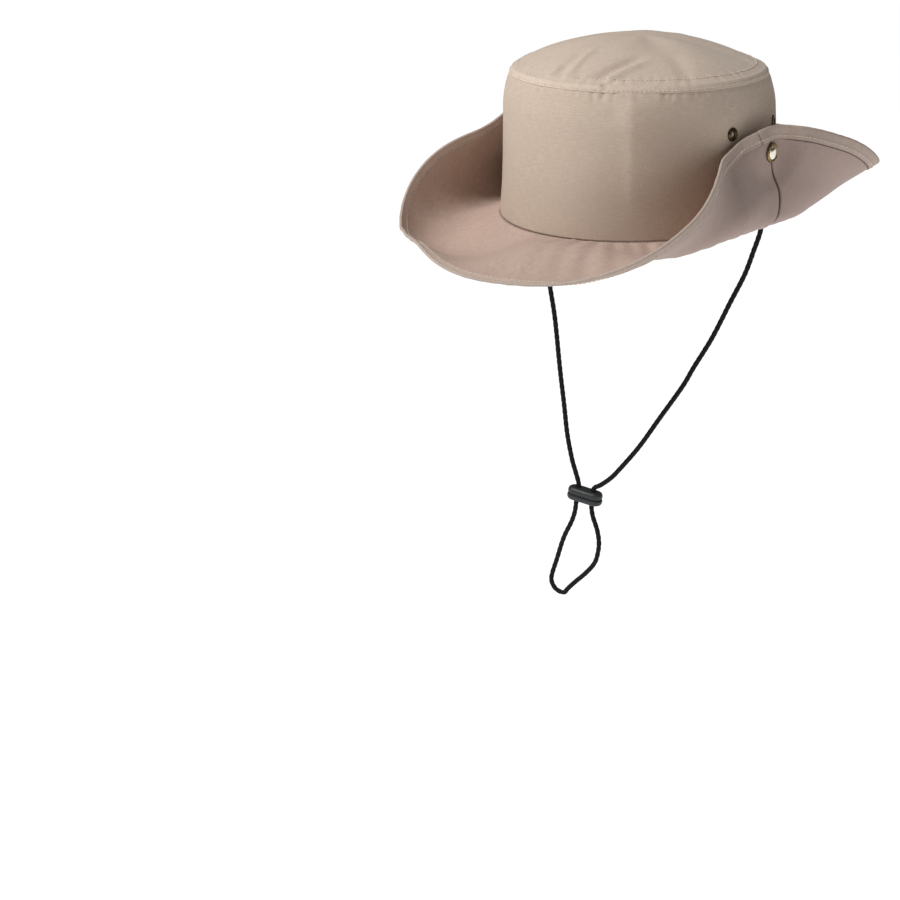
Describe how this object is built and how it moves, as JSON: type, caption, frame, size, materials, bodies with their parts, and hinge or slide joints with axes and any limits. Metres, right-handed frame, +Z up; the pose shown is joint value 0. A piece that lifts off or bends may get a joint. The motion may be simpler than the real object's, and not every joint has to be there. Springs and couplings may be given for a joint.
{
  "type": "safari hat",
  "caption": "Cotton safari hat with an upright crown, domed top, wide brim snapped up at the sides, air holes and a chin cord with a sliding bead.",
  "frame": {"origin": "centre of the head opening, level with the seam of crown and brim", "axes": "+Z up through the crown, -Y to the front of the hat, +X to the wearer's left"},
  "size_m": [0.2423, 0.3339, 0.3863],
  "materials": {
    "crown_cloth": "matte tan cotton weave",
    "top_cloth": "matte tan cotton weave",
    "brim_cloth": "matte tan cotton weave",
    "band_cloth": "matte tan cotton tape",
    "brass_dark": "antique",
    "brass_bright": "polished antique",
    "cord_black": "matte black braid",
    "lock_plastic": "satin black"
  },
  "bodies": {
    "root": {"crown_side": "crown_cloth", "crown_top": "top_cloth", "brim": "brim_cloth", "brim_binding": "band_cloth", "chin_cord": "cord_black", "cord_lock": "lock_plastic", "eyelet_left_front": "brass_dark", "eyelet_left_back": "brass_dark", "eyelet_right_front": "brass_dark", "eyelet_right_back": "brass_dark", "snap_stud_left": "brass_dark", "snap_stud_right": "brass_dark", "snap_cap_left": "brass_bright", "snap_cap_right": "brass_bright"}
  },
  "joints": []
}
